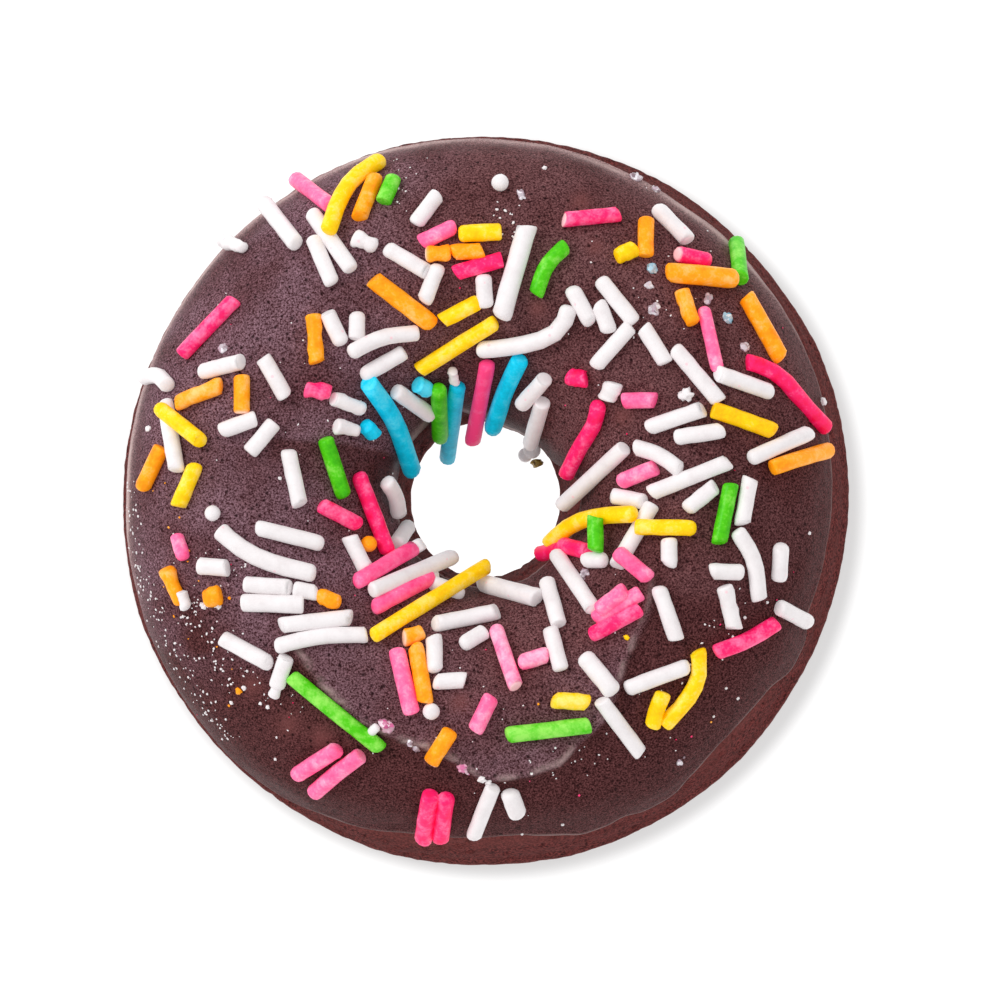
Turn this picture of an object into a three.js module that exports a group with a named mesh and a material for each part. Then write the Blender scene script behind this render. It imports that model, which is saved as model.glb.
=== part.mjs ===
// A frosted ring doughnut, baked in a ring mould and turned out to stand on its flat side.
// It is two solids: the ring of cake, and the coat of frosting spread over its upper half.
// Both start as a torus, whose vertices are moved to the true section at their angle.
// Units are millimetres, +Z is up, and the origin is the middle of the hole on the table.
import * as THREE from "three";
import { mergeVertices } from "three/addons/utils/BufferGeometryUtils.js";

// The ring of cake.
const OUTER_RADIUS = 40;
const HOLE_RADIUS = 8.4;
const CAKE_HEIGHT = 21.8;
const CROWN_ROUNDNESS = 2.15; // 2 is an ellipse, and more is flatter on top and steeper at the sides
const FOOT_ROUND = 1.2; // rounding of the two lower edges
const FLANGE_WIDTH = 0.5; // the foot stands this far out from the wall above it
const FLANGE_TOP = 4.2; // where the foot has run out into the wall
const OUT_OF_ROUND = 0.2; // the ring is longer front to back, by this much on its radius

// The coat of frosting.
const FROSTING_THICKNESS = 1.5;
const LIP_THICKNESS = 0.6;
const LIP_TAPER = 8; // the coat reaches its full thickness this far in from its edge
const COAT_GAP = 0.3; // the coat stays this far off the cake
const OUTER_EDGE_HEIGHT = 10.3; // mean height of the coat's edge round the outside
const OUTER_EDGE_LEAN = 1.1; // it is higher by this much at the front right, and lower opposite
const OUTER_EDGE_HIGH_AT = -55;
const INNER_EDGE_HEIGHT = 11.8; // mean height of its edge in the hole
const INNER_EDGE_LEAN = 2.2;
const INNER_EDGE_HIGH_AT = -15;

// The step that the spreading knife left on the crown: the coat is thicker inside it. It runs clockwise
// round the front from its right end, and its angles are in degrees on from there.
const STEP_HEIGHT = 0.45;
const STEP_WIDTH = 1.6;
const STEP_RADIUS = 30.5;
const STEP_STARTS_AT = -25; // anticlockwise from +X
const STEP_CURL = 6; // it starts this much further in
const STEP_CURL_SPAN = 60;
const STEP_RISE_SPAN = 12;
const STEP_FADES_FROM = 130;
const STEP_ENDS_AT = 175;

// Where the coat's edge runs down further, or stops short if the drop is less than 0. Angles are in
// degrees, anticlockwise from +X.
const OUTER_RUNS = [
  { at: -27, halfWidth: 5, drop: 2.2 },
  { at: -43, halfWidth: 8, drop: -1 },
  { at: -60, halfWidth: 5, drop: 1.6 },
  { at: -92, halfWidth: 14, drop: -2.2 },
  { at: -71, halfWidth: 4, drop: 0.8 },
  { at: -136, halfWidth: 19, drop: 3.2 },
  { at: -165, halfWidth: 12, drop: 0.8 },
  { at: 60, halfWidth: 9, drop: -1 },
];
const INNER_RUNS = [{ at: 58, halfWidth: 40, drop: 10 }];

// How finely each torus is divided, round the ring and round its section.
const CAKE_STEPS = { turn: 80, section: 22 };
const FROSTING_STEPS = { turn: 108, section: 30 };
const CAKE_UPPER_SHARE = 0.75; // share of a section's points that lie on its upper side
const FROSTING_UPPER_SHARE = 0.54;
const FOOT_ROUND_SHARE = 0.25; // share of the cake's underside points that lie on each rounded edge
const MERGE_DISTANCE = 1e-3;

const MIDDLE_RADIUS = (OUTER_RADIUS + HOLE_RADIUS) / 2;
const HALF_WIDTH = (OUTER_RADIUS - HOLE_RADIUS) / 2;
const WALL_HALF_WIDTH = HALF_WIDTH - FLANGE_WIDTH;
const CROWN_HEIGHT = CAKE_HEIGHT - FOOT_ROUND;

const { smoothstep, degToRad, radToDeg, euclideanModulo, lerp } = THREE.MathUtils;

function signedPower(value, power) {
  return Math.sign(value) * Math.abs(value) ** power;
}

// The cake's upper outline: turn 0 is the foot outside, PI / 2 the crown and PI the foot in the hole.
function cakeOutline(turn) {
  const across = signedPower(Math.cos(turn), 2 / CROWN_ROUNDNESS);
  const up = Math.max(Math.sin(turn), 0) ** (2 / CROWN_ROUNDNESS);
  const z = FOOT_ROUND + CROWN_HEIGHT * up;
  const flange = FLANGE_WIDTH * (1 - smoothstep(z, FOOT_ROUND, FLANGE_TOP));
  return new THREE.Vector2(MIDDLE_RADIUS + WALL_HALF_WIDTH * across + flange * Math.sign(across), z);
}

// The point that lies off the cake's upper outline by a distance, square to it.
function offCakeOutline(turn, distance) {
  const small = 1e-3;
  const along = cakeOutline(turn + small).sub(cakeOutline(turn - small)).normalize();
  return cakeOutline(turn).add(new THREE.Vector2(along.y, -along.x).multiplyScalar(distance));
}

// The flat underside, with its two rounded edges: share 0 is the foot in the hole, 1 the foot outside.
function undersideOutline(share) {
  const flatHalf = HALF_WIDTH - FOOT_ROUND;
  const fromEnd = Math.min(share, 1 - share) / FOOT_ROUND_SHARE;
  const side = share < 0.5 ? -1 : 1;
  if (fromEnd >= 1) {
    const across = lerp(-flatHalf, flatHalf, (share - FOOT_ROUND_SHARE) / (1 - 2 * FOOT_ROUND_SHARE));
    return new THREE.Vector2(MIDDLE_RADIUS + across, 0);
  }
  const turn = (fromEnd * Math.PI) / 2;
  const round = new THREE.Vector2(Math.cos(turn), 1 - Math.sin(turn)).multiplyScalar(FOOT_ROUND);
  return new THREE.Vector2(MIDDLE_RADIUS + side * (flatHalf + round.x), round.y);
}

// Height of the coat's edge at an angle: its mean, its lean and its runs.
function edgeHeight(angle, mean, lean, highAt, runs) {
  const leaning = mean + lean * Math.cos(angle - degToRad(highAt));
  return runs.reduce((height, { at, halfWidth, drop }) => {
    const apart = Math.atan2(Math.sin(angle - degToRad(at)), Math.cos(angle - degToRad(at)));
    return height - drop * Math.exp(-((apart / degToRad(halfWidth)) ** 4));
  }, leaning);
}

// The turn at which the cake's outline stands at a height, on its outer side.
function turnAtHeight(height) {
  const share = Math.max((height - FOOT_ROUND) / CROWN_HEIGHT, 0);
  return Math.asin(share ** (CROWN_ROUNDNESS / 2));
}

// What the knife's step adds to the coat's thickness.
function spreadStep(angle, radius) {
  const on = euclideanModulo(STEP_STARTS_AT - radToDeg(angle), 360);
  const line = STEP_RADIUS - STEP_CURL * (1 - smoothstep(on, 0, STEP_CURL_SPAN));
  const inside = 1 - smoothstep(radius, line - STEP_WIDTH / 2, line + STEP_WIDTH / 2);
  const along = smoothstep(on, 0, STEP_RISE_SPAN) * (1 - smoothstep(on, STEP_FADES_FROM, STEP_ENDS_AT));
  return STEP_HEIGHT * inside * along;
}

// Thickness of the coat, from the distance to its nearer edge: a round lip that thickens inwards.
function coatThickness(angle, radius, fromEdge) {
  const lip = Math.min(fromEdge / LIP_THICKNESS, 1);
  const body = (FROSTING_THICKNESS - LIP_THICKNESS) * smoothstep(fromEdge, 0, LIP_TAPER);
  return LIP_THICKNESS * Math.sqrt(1 - (1 - lip) ** 2) + body + spreadStep(angle, radius);
}

function cakePoint(angle, share) {
  const point =
    share < CAKE_UPPER_SHARE
      ? cakeOutline((share / CAKE_UPPER_SHARE) * Math.PI)
      : undersideOutline((share - CAKE_UPPER_SHARE) / (1 - CAKE_UPPER_SHARE));
  point.x -= OUT_OF_ROUND * Math.cos(2 * angle);
  return point;
}

function frostingPoint(angle, share) {
  const outer = edgeHeight(angle, OUTER_EDGE_HEIGHT, OUTER_EDGE_LEAN, OUTER_EDGE_HIGH_AT, OUTER_RUNS);
  const inner = edgeHeight(angle, INNER_EDGE_HEIGHT, INNER_EDGE_LEAN, INNER_EDGE_HIGH_AT, INNER_RUNS);
  const outerTurn = turnAtHeight(outer);
  const innerTurn = Math.PI - turnAtHeight(inner);
  const onTop = share < FROSTING_UPPER_SHARE;
  const across = onTop ? share / FROSTING_UPPER_SHARE : (1 - share) / (1 - FROSTING_UPPER_SHARE);
  const eased = onTop ? (1 - Math.cos(across * Math.PI)) / 2 : across;
  const turn = lerp(outerTurn, innerTurn, eased);
  const fromEdge = Math.min(turn - outerTurn, innerTurn - turn) * ((WALL_HALF_WIDTH + CROWN_HEIGHT) / 2);
  const thickness = onTop ? coatThickness(angle, cakeOutline(turn).x, fromEdge) : 0;
  const point = offCakeOutline(turn, COAT_GAP + thickness);
  point.x -= OUT_OF_ROUND * Math.cos(2 * angle);
  return point;
}

// A torus with each vertex moved to pointAt(angle round the ring, share of the way round the section).
function ringGeometry(pointAt, steps) {
  const ring = new THREE.TorusGeometry(MIDDLE_RADIUS, HALF_WIDTH, steps.section, steps.turn);
  const position = ring.getAttribute("position");
  const uv = ring.getAttribute("uv");
  for (let i = 0; i < position.count; i++) {
    const angle = uv.getX(i) * 2 * Math.PI;
    const point = pointAt(angle, uv.getY(i) % 1);
    position.setXYZ(i, point.x * Math.cos(angle), point.x * Math.sin(angle), point.y);
  }
  ring.deleteAttribute("normal");
  ring.deleteAttribute("uv");
  const closed = mergeVertices(ring, MERGE_DISTANCE);
  closed.computeVertexNormals();
  return closed;
}

// Cake crumb: dark cocoa brown with a red cast, dull and dry.
function makeCake() {
  const crumb = new THREE.MeshStandardMaterial({ color: "#45282a", roughness: 0.85, metalness: 0 });
  const mesh = new THREE.Mesh(ringGeometry(cakePoint, CAKE_STEPS), crumb);
  mesh.name = "cake";
  return mesh;
}

// Set cocoa frosting: nearly black brown, with a soft sheen.
function makeFrosting() {
  const cocoa = new THREE.MeshStandardMaterial({ color: "#352425", roughness: 0.5, metalness: 0 });
  const mesh = new THREE.Mesh(ringGeometry(frostingPoint, FROSTING_STEPS), cocoa);
  mesh.name = "frosting";
  return mesh;
}

const doughnut = new THREE.Group();
doughnut.name = "doughnut";
doughnut.add(makeCake(), makeFrosting());

export default doughnut;
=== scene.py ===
import math
import random

import bmesh
import bpy
import numpy as np
from mathutils import Matrix, Vector, noise
from mathutils.bvhtree import BVHTree


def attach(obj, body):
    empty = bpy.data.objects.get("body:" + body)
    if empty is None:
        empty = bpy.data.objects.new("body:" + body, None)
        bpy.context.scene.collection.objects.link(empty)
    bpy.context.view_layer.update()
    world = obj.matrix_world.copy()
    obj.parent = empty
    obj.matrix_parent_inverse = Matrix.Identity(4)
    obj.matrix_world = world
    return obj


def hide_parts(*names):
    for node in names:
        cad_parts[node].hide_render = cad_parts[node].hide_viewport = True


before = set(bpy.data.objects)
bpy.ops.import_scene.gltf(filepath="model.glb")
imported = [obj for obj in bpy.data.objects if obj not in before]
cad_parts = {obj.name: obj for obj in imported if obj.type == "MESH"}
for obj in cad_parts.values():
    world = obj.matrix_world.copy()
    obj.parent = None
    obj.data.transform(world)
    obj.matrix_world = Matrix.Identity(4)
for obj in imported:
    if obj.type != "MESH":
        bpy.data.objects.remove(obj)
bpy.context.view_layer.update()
MM = 0.001


# ---------------------------------------------------------------------------------------------------
# The camera. It hangs far above the table with a long lens, so that the ring is seen almost without
# perspective, and it leans a few degrees to the front right, which shows the cake's foot on that side.
CAMERA_DISTANCE = 1.5
CAMERA_LEAN = math.radians(4.5)
CAMERA_SIDE = math.radians(-51)
CAMERA_AIM = Vector((1.6 * MM, 0, 0))
CAMERA_LENS = 488.9
BACK_OF_TABLE = Vector((0, 1, 0))

towards_camera = Vector(
    (
        math.sin(CAMERA_LEAN) * math.cos(CAMERA_SIDE),
        math.sin(CAMERA_LEAN) * math.sin(CAMERA_SIDE),
        math.cos(CAMERA_LEAN),
    )
)
camera_right = BACK_OF_TABLE.cross(towards_camera).normalized()
camera_up = towards_camera.cross(camera_right)
camera = bpy.data.objects.new("camera", bpy.data.cameras.new("camera"))
bpy.context.scene.collection.objects.link(camera)
camera.data.lens = CAMERA_LENS
turned = Matrix((camera_right, camera_up, towards_camera)).transposed().to_4x4()
camera.matrix_world = Matrix.Translation(CAMERA_AIM + towards_camera * CAMERA_DISTANCE) @ turned
bpy.context.scene.camera = camera


# ---------------------------------------------------------------------------------------------------
# The studio. A white light board on the table, one large soft lamp at the back left, and white walls
# all round that fill the shade. The board glows white. Its glow is raised under the hole, as painted light
# that keeps the shaded hole white. It is dimmed close round the ring's foot, most to the front right, so
# that a faint painted soft shadow shows there.
FILL_LIGHT = 0.85
LAMP_POWER = 7.0
LAMP_SIZE = 0.55
LAMP_PLACE = Vector((-0.76, 0.44, 0.95))
BOARD_SIZE = 6
# The glow under the hole is painted light, and the lower glow round the ring's foot is a painted shadow.
PAINTED_HOLE_LIGHT = 1.0
PAINTED_SHADOW_GLOW = 0.53
OPEN_GLOW = 0.88
PAINTED_HOLE_LIGHT_ENDS = (11 * MM, 16 * MM)
PAINTED_SHADOW_ENDS = (39.7 * MM, 42 * MM)
PAINTED_SHADOW_MIDDLE = (0.7 * MM, -0.7 * MM, 0)

scene = bpy.context.scene
scene.view_settings.view_transform = "Standard"
scene.world = bpy.data.worlds.new("white_studio")
scene.world.use_nodes = True
scene.world.node_tree.nodes["Background"].inputs["Color"].default_value = (1, 1, 1, 1)
scene.world.node_tree.nodes["Background"].inputs["Strength"].default_value = FILL_LIGHT

lamp = bpy.data.objects.new("soft_lamp", bpy.data.lights.new("soft_lamp", "AREA"))
scene.collection.objects.link(lamp)
lamp.data.energy = LAMP_POWER
lamp.data.size = LAMP_SIZE
lamp.matrix_world = Matrix.Translation(LAMP_PLACE) @ LAMP_PLACE.to_track_quat("Z", "Y").to_matrix().to_4x4()


def linear(hex_colour):
    """The linear colour of an sRGB hex value."""
    shares = [int(hex_colour[i : i + 2], 16) / 255 for i in (1, 3, 5)]
    return [s / 12.92 if s <= 0.04045 else ((s + 0.055) / 1.055) ** 2.4 for s in shares] + [1]


def new_material(name, **finish):
    """A material whose shader has these settings, such as roughness=0.5 or coat_weight=0.1."""
    material = bpy.data.materials.new(name)
    material.use_nodes = True
    shader = material.node_tree.nodes["Principled BSDF"]
    for setting, value in finish.items():
        shader.inputs[setting.replace("_", " ").title().replace("Ior", "IOR")].default_value = value
    return material


def add_node(material, kind, inputs=None, **settings):
    """Adds a node of that kind. An input is a value, or the socket that it is linked from."""
    node = material.node_tree.nodes.new("ShaderNode" + kind)
    for setting, value in settings.items():
        setattr(node, setting, value)
    for name, value in (inputs or {}).items():
        if isinstance(value, bpy.types.NodeSocket):
            material.node_tree.links.new(value, node.inputs[name])
        else:
            node.inputs[name].default_value = value
    return node


def finish_material(material, inputs):
    """Links these sockets to the material's shader."""
    shader = material.node_tree.nodes["Principled BSDF"]
    for name, socket in inputs.items():
        material.node_tree.links.new(socket, shader.inputs[name])


bpy.ops.object.select_all(action="DESELECT")
bpy.ops.mesh.primitive_plane_add(size=BOARD_SIZE)
board = bpy.context.active_object
board.name = "white_board"
opal_board = new_material(
    "opal_light_board",
    base_color=linear("#949494"),
    emission_color=linear("#ffffff"),
    roughness=0.9,
    specular_ior_level=0.1,
)
board_place = add_node(opal_board, "TexCoord").outputs["Object"]
from_hole = add_node(opal_board, "VectorMath", {0: board_place}, operation="LENGTH")
from_rim = add_node(
    opal_board, "VectorMath", {0: board_place, 1: PAINTED_SHADOW_MIDDLE}, operation="DISTANCE"
)
# Painted light: the glow is raised under the hole, where the ring would shade the board.
painted_hole_light = add_node(
    opal_board,
    "MapRange",
    {
        "Value": from_hole.outputs["Value"],
        "From Min": PAINTED_HOLE_LIGHT_ENDS[0],
        "From Max": PAINTED_HOLE_LIGHT_ENDS[1],
        "To Min": PAINTED_HOLE_LIGHT,
        "To Max": PAINTED_SHADOW_GLOW,
    },
)
# Painted shadow: the glow is dimmed close round the ring's foot, off centre to the front right.
painted_shadow_fade = add_node(
    opal_board,
    "MapRange",
    {
        "Value": from_rim.outputs["Value"],
        "From Min": PAINTED_SHADOW_ENDS[0],
        "From Max": PAINTED_SHADOW_ENDS[1],
        "To Max": OPEN_GLOW - PAINTED_SHADOW_GLOW,
    },
    interpolation_type="SMOOTHSTEP",
)
glow_with_painted_light_and_shadow = add_node(opal_board, "Math", {0: painted_hole_light.outputs[0], 1: painted_shadow_fade.outputs[0]}, operation="ADD")
finish_material(opal_board, {"Emission Strength": glow_with_painted_light_and_shadow.outputs[0]})
board.data.materials.append(opal_board)


# ---------------------------------------------------------------------------------------------------
# The ring of cake. Dark cocoa batter, baked in a ring mould and turned out on its flat side. Its
# wall swells up from a thin foot where the batter met the mould's rim, and the crumb shows all over.
OUTER_RADIUS = 40
HOLE_RADIUS = 8.4
CAKE_HEIGHT = 21.8
CROWN_ROUNDNESS = 2.15
FOOT_ROUND = 1.2
FOOT_ROUND_SHARE = 0.25
FLANGE_WIDTH = 0.5
FLANGE_TOP = 4.2
OUT_OF_ROUND = 0.2
# How far the wall stands out past the round outline, in mm, at degrees anticlockwise from +X.
BULGES = [
    (-170, 0.3),
    (-160, 0.42),
    (-145, 0.16),
    (-120, 0.12),
    (-105, 0.15),
    (-88, 0.08),
    (-77, 0.16),
    (-65, 0.06),
    (-48, 0.17),
    (-35, 0),
    (-15, 0),
    (8, 0.3),
    (25, 0.4),
    (36, 0.12),
    (50, 0.05),
    (62, 0.1),
    (76, -0.1),
    (92, 0),
    (118, 0.28),
    (160, 0.22),
]
MIDDLE_RADIUS = (OUTER_RADIUS + HOLE_RADIUS) / 2
HALF_WIDTH = (OUTER_RADIUS - HOLE_RADIUS) / 2
WALL_HALF_WIDTH = HALF_WIDTH - FLANGE_WIDTH
CROWN_HEIGHT = CAKE_HEIGHT - FOOT_ROUND
CAKE_TURN_STEPS = 640
CAKE_SECTION_STEPS = 120
CAKE_UPPER_SHARE = 0.75
SWELL = 0.3
SWELL_SPACING = 13
CRUMB_RELIEF = 0.14
CRUMB_SPACING = 0.9
PORE_DEPTH = 0.35
PORE_SPACING = 1.7
PORE_WIDTH = 0.32


def smoothstep(low, high, value):
    share = np.clip((value - low) / (high - low), 0, 1)
    return share * share * (3 - 2 * share)


def humps(points, spacing, seed):
    """Smooth chance relief from about -1 to 1, with its humps that many mm apart."""
    shift = Vector((seed * 7.3, seed * 3.1, seed * 5.7))
    return np.array([noise.noise(Vector(point) / spacing + shift) for point in points])


def spin_plain_ring(name, section_steps, turn_steps):
    """A plain ring spun from an upright circle, with each point's angle and its share of the section."""
    bpy.ops.object.select_all(action="DESELECT")
    bpy.ops.mesh.primitive_circle_add(
        vertices=section_steps,
        radius=HALF_WIDTH * MM,
        location=(MIDDLE_RADIUS * MM, 0, 0),
        rotation=(math.pi / 2, 0, 0),
    )
    ring = bpy.context.active_object
    ring.name = name
    bpy.ops.object.transform_apply(location=True, rotation=True, scale=True)
    bpy.ops.object.mode_set(mode="EDIT")
    bpy.ops.mesh.select_all(action="SELECT")
    bpy.ops.mesh.spin(steps=turn_steps, angle=2 * math.pi, center=(0, 0, 0), axis=(0, 0, 1))
    bpy.ops.mesh.select_all(action="SELECT")
    bpy.ops.mesh.remove_doubles(threshold=0.01 * MM)
    bpy.ops.mesh.normals_make_consistent(inside=False)
    bpy.ops.object.mode_set(mode="OBJECT")
    bpy.ops.object.shade_smooth()
    points = points_of(ring)
    angle = np.arctan2(points[:, 1], points[:, 0])
    around_section = np.arctan2(points[:, 2], np.hypot(points[:, 0], points[:, 1]) - MIDDLE_RADIUS)
    step = np.round(around_section / (2 * math.pi) * section_steps).astype(int) % section_steps
    return ring, angle, step / section_steps


def points_of(piece, kind="co"):
    """A mesh's points in mm, or its normals."""
    values = np.zeros(len(piece.data.vertices) * 3)
    piece.data.vertices.foreach_get(kind, values)
    return values.reshape(-1, 3) / (MM if kind == "co" else 1)


def move_points(piece, points):
    """Moves a mesh's points to these places in mm."""
    piece.data.vertices.foreach_set("co", (points * MM).ravel())
    piece.data.update()


def stand_up(angle, radius, height):
    """Points in mm from each angle round the ring, distance from its axis, and height."""
    radius = radius - OUT_OF_ROUND * np.cos(2 * angle)
    bulge = np.interp(np.degrees(angle), [at for at, _ in BULGES], [out for _, out in BULGES], period=360)
    radius = radius + bulge * smoothstep(MIDDLE_RADIUS, OUTER_RADIUS - 2, radius)
    return np.stack([radius * np.cos(angle), radius * np.sin(angle), height], axis=1)


def cake_outline(turn):
    """Radius and height of the cake's skin: turn 0 is the foot outside, pi the foot in the hole."""
    across = np.sign(np.cos(turn)) * np.abs(np.cos(turn)) ** (2 / CROWN_ROUNDNESS)
    height = FOOT_ROUND + CROWN_HEIGHT * np.clip(np.sin(turn), 0, None) ** (2 / CROWN_ROUNDNESS)
    flange = FLANGE_WIDTH * (1 - smoothstep(FOOT_ROUND, FLANGE_TOP, height))
    return MIDDLE_RADIUS + WALL_HALF_WIDTH * across + flange * np.sign(across), height


def underside_outline(share):
    """The flat underside with its rounded edges: share 0 is the foot in the hole, 1 the foot outside."""
    side = np.where(share < 0.5, -1, 1)
    flat_half = HALF_WIDTH - FOOT_ROUND
    turn = np.clip(np.minimum(share, 1 - share) / FOOT_ROUND_SHARE, 0, 1) * math.pi / 2
    along_flat = np.clip((share - FOOT_ROUND_SHARE) / (1 - 2 * FOOT_ROUND_SHARE), 0, 1)
    across = flat_half * (2 * along_flat - 1) + side * FOOT_ROUND * np.cos(turn)
    return MIDDLE_RADIUS + across, FOOT_ROUND * (1 - np.sin(turn))


def pores(points, spacing, width, seed):
    """1 in the middle of chance pores and 0 away from them."""
    shift = Vector((seed * 7.3, seed * 3.1, seed * 5.7))
    nearest = [noise.voronoi(Vector(point) / spacing + shift)[0][0] for point in points]
    return 1 - smoothstep(0.1, width, np.array(nearest))


cake, angle, share = spin_plain_ring("cake_ring", CAKE_SECTION_STEPS, CAKE_TURN_STEPS)
upper_radius, upper_height = cake_outline(np.clip(share / CAKE_UPPER_SHARE, 0, 1) * math.pi)
lower_radius, lower_height = underside_outline((share - CAKE_UPPER_SHARE) / (1 - CAKE_UPPER_SHARE))
on_upper = share < CAKE_UPPER_SHARE
move_points(
    cake,
    stand_up(
        angle,
        np.where(on_upper, upper_radius, lower_radius),
        np.where(on_upper, upper_height, lower_height),
    ),
)
points = points_of(cake)
above_foot = smoothstep(0, 3, points[:, 2])
relief = SWELL * above_foot * humps(points, SWELL_SPACING, 1)
relief += CRUMB_RELIEF * (0.4 + 0.6 * above_foot) * humps(points, CRUMB_SPACING, 2)
relief -= PORE_DEPTH * above_foot * pores(points, PORE_SPACING, PORE_WIDTH, 3)
points += points_of(cake, "normal") * relief[:, None]
points[:, 2] = np.maximum(points[:, 2], 0)
move_points(cake, points)


# A colour mix has its share in socket 0, its two colours in 6 and 7, and gives the mix in 2.
MIX_SHARE, MIX_FROM, MIX_TO, MIXED = 0, 6, 7, 2
RANGE_SOCKETS = ("From Min", "From Max", "To Min", "To Max")
WHOLE = (0, 1)


def lay_colours(material, colour, layers):
    """Lays more colours over a first one, and gives the result.

    A layer is a value, the two ends that it goes between, the layer's share at each end, and its
    colour. A colour is a hex value or a socket.
    """
    for value, ends, shares, over in layers:
        share = add_node(material, "MapRange", dict(zip(RANGE_SOCKETS, (*ends, *shares)), Value=value))
        under, over = (linear(c) if isinstance(c, str) else c for c in (colour, over))
        sockets = {MIX_SHARE: share.outputs[0], MIX_FROM: under, MIX_TO: over}
        colour = add_node(material, "Mix", sockets, data_type="RGBA").outputs[MIXED]
    return colour


def cocoa_crumb():
    """Baked cocoa crumb: dry and dull, red brown, with fine pores darkened by painted shade, and paler
    grains.

    It is paler close under the frosting, and has a thin pale painted highlight round the foot.
    """
    crumb = new_material("baked_cocoa_crumb", roughness=0.85, specular_ior_level=0.06)
    place = add_node(crumb, "TexCoord").outputs["Object"]
    grain = add_node(
        crumb, "TexNoise", {"Vector": place, "Scale": 1 / (0.3 * MM), "Detail": 3.0, "Roughness": 0.7}
    ).outputs[0]
    patch = add_node(crumb, "TexNoise", {"Vector": place, "Scale": 1 / (3.5 * MM), "Detail": 2.0}).outputs[0]
    pore = add_node(crumb, "TexVoronoi", {"Vector": place, "Scale": 1 / (0.8 * MM)}).outputs["Distance"]
    height = add_node(crumb, "SeparateXYZ", {"Vector": place}).outputs["Z"]
    # Painted highlight: a thin pale line round the foot.
    foot_highlight = add_node(
        crumb,
        "MapRange",
        {"Value": height, "From Min": 0.6 * MM, "From Max": 2.0 * MM, "To Min": 0.5, "To Max": 0.0},
        interpolation_type="SMOOTHSTEP",
    ).outputs[0]
    colour = lay_colours(
        crumb,
        "#260a0a",
        [
            (grain, (0.4, 0.63), WHOLE, "#803c3a"),
            (patch, (0.35, 0.75), (0, 0.6), "#5a2927"),
            # Painted shade: the fine pores are darkened.
            (pore, (0.05, 0.28), (0.7, 0), "#220b0a"),
            (height, (8 * MM, 11 * MM), (0, 0.35), "#7a4441"),
            (foot_highlight, WHOLE, WHOLE, "#a86e69"),
        ],
    )
    bump = add_node(crumb, "Bump", {"Height": grain, "Strength": 0.5, "Distance": 0.12 * MM})
    finish_material(crumb, {"Base Color": colour, "Normal": bump.outputs[0]})
    return crumb


cake.data.materials.append(cocoa_crumb())
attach(cake, "root")
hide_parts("cake")


# ---------------------------------------------------------------------------------------------------
# The coat of frosting. Cocoa frosting spread warm over the ring with a knife, so that it runs down
# the wall to an uneven rounded lip. It has set with a grainy skin, a knife step round the front and
# a crease left of the hole. It sits tight on the cake.
FROSTING_THICKNESS = 1.5
LIP_THICKNESS = 0.6
LIP_TAPER = 8
COAT_GAP = 0.1
COAT_SUNK = 0.25
OUTER_EDGE = {"height": 10.3, "lean": 1.1, "high_at": -55}
INNER_EDGE = {"height": 11.8, "lean": 2.2, "high_at": -15}
# Where the edge runs down further: degrees anticlockwise from +X, half width in degrees, drop in mm.
OUTER_RUNS = [
    (-27, 5, 2.2),
    (-43, 8, -1),
    (-60, 5, 1.6),
    (-71, 4, 0.8),
    (-92, 14, -2.2),
    (-136, 19, 3.2),
    (-165, 12, 0.8),
    (60, 9, -1),
]
INNER_RUNS = [(58, 40, 10)]
FROSTING_TURN_STEPS = 650
FROSTING_SECTION_STEPS = 152
FROSTING_UPPER_SHARE = 134 / 152
STEP_HEIGHT = 0.45
STEP_CREST = 0.3
STEP_FURROW = 0.2
STEP_WIDTH = 1.1
# The knife step's line: angle round the ring in degrees, and distance from the ring's axis.
STEP_LINE = [
    (-150, 25.5),
    (-118, 28.3),
    (-102, 29),
    (-94, 30),
    (-89, 31.8),
    (-79, 32.1),
    (-73, 31.6),
    (-68, 30.1),
    (-61, 29),
    (-49, 25.2),
    (-43, 24.3),
    (-33, 23.1),
    (-24, 21.5),
]
CREASE_FROM = np.array([-24, 5.8])
CREASE_TO = np.array([-9.5, 4.2])
CREASE_DEPTH = 0.3
# Small pits in the skin: place in mm, half width and depth.
PITS = [
    (-30.3, -15.4, 0.4, 0.3),
    (25.0, 2.7, 0.5, 0.3),
    (30.5, 1.9, 0.4, 0.25),
    (35.6, -1.2, 0.4, 0.3),
    (36.3, 7.3, 0.4, 0.3),
    (2.2, -29.8, 0.3, 0.5),
    (5.0, -29.4, 0.35, 0.35),
    (-13.6, 11.6, 0.3, 0.3),
    (29.3, 22.4, 0.35, 0.3),
]
# Red brown spots where the skin is thin: place and half width in mm.
THIN_SPOTS = [
    (11.3, 31.3, 1.1),
    (13.0, 26.2, 0.9),
    (6.7, 19.5, 0.9),
    (16.0, 7.7, 1.0),
    (-24.4, -21.4, 1.1),
    (-20.5, -25.6, 1.3),
    (-16.8, -27.0, 1.3),
    (-1.6, -23.4, 1.1),
]


def coat_edge(angle, edge, runs, seed):
    """Height of the coat's edge at an angle: its mean, its lean, its runs and a slight waver."""
    height = edge["height"] + edge["lean"] * np.cos(angle - math.radians(edge["high_at"]))
    for at, half_width, drop in runs:
        apart = (np.degrees(angle) - at + 180) % 360 - 180
        height = height - drop * np.exp(-((apart / half_width) ** 4))
    round_ring = np.stack([np.cos(angle), np.sin(angle), 0 * angle], axis=1) * OUTER_RADIUS
    return height + 0.35 * humps(round_ring, 6, seed) + 0.15 * humps(round_ring, 1.8, seed + 1)


def turn_at_height(height):
    share = np.clip((height - FOOT_ROUND) / CROWN_HEIGHT, 0, 1)
    return np.arcsin(share ** (CROWN_ROUNDNESS / 2))


def off_cake_outline(turn, distance):
    small = 0.001
    before = np.stack(cake_outline(turn - small))
    after = np.stack(cake_outline(turn + small))
    along = (after - before) / np.hypot(*(after - before))
    radius, height = cake_outline(turn)
    return radius + along[1] * distance, height - along[0] * distance


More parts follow.
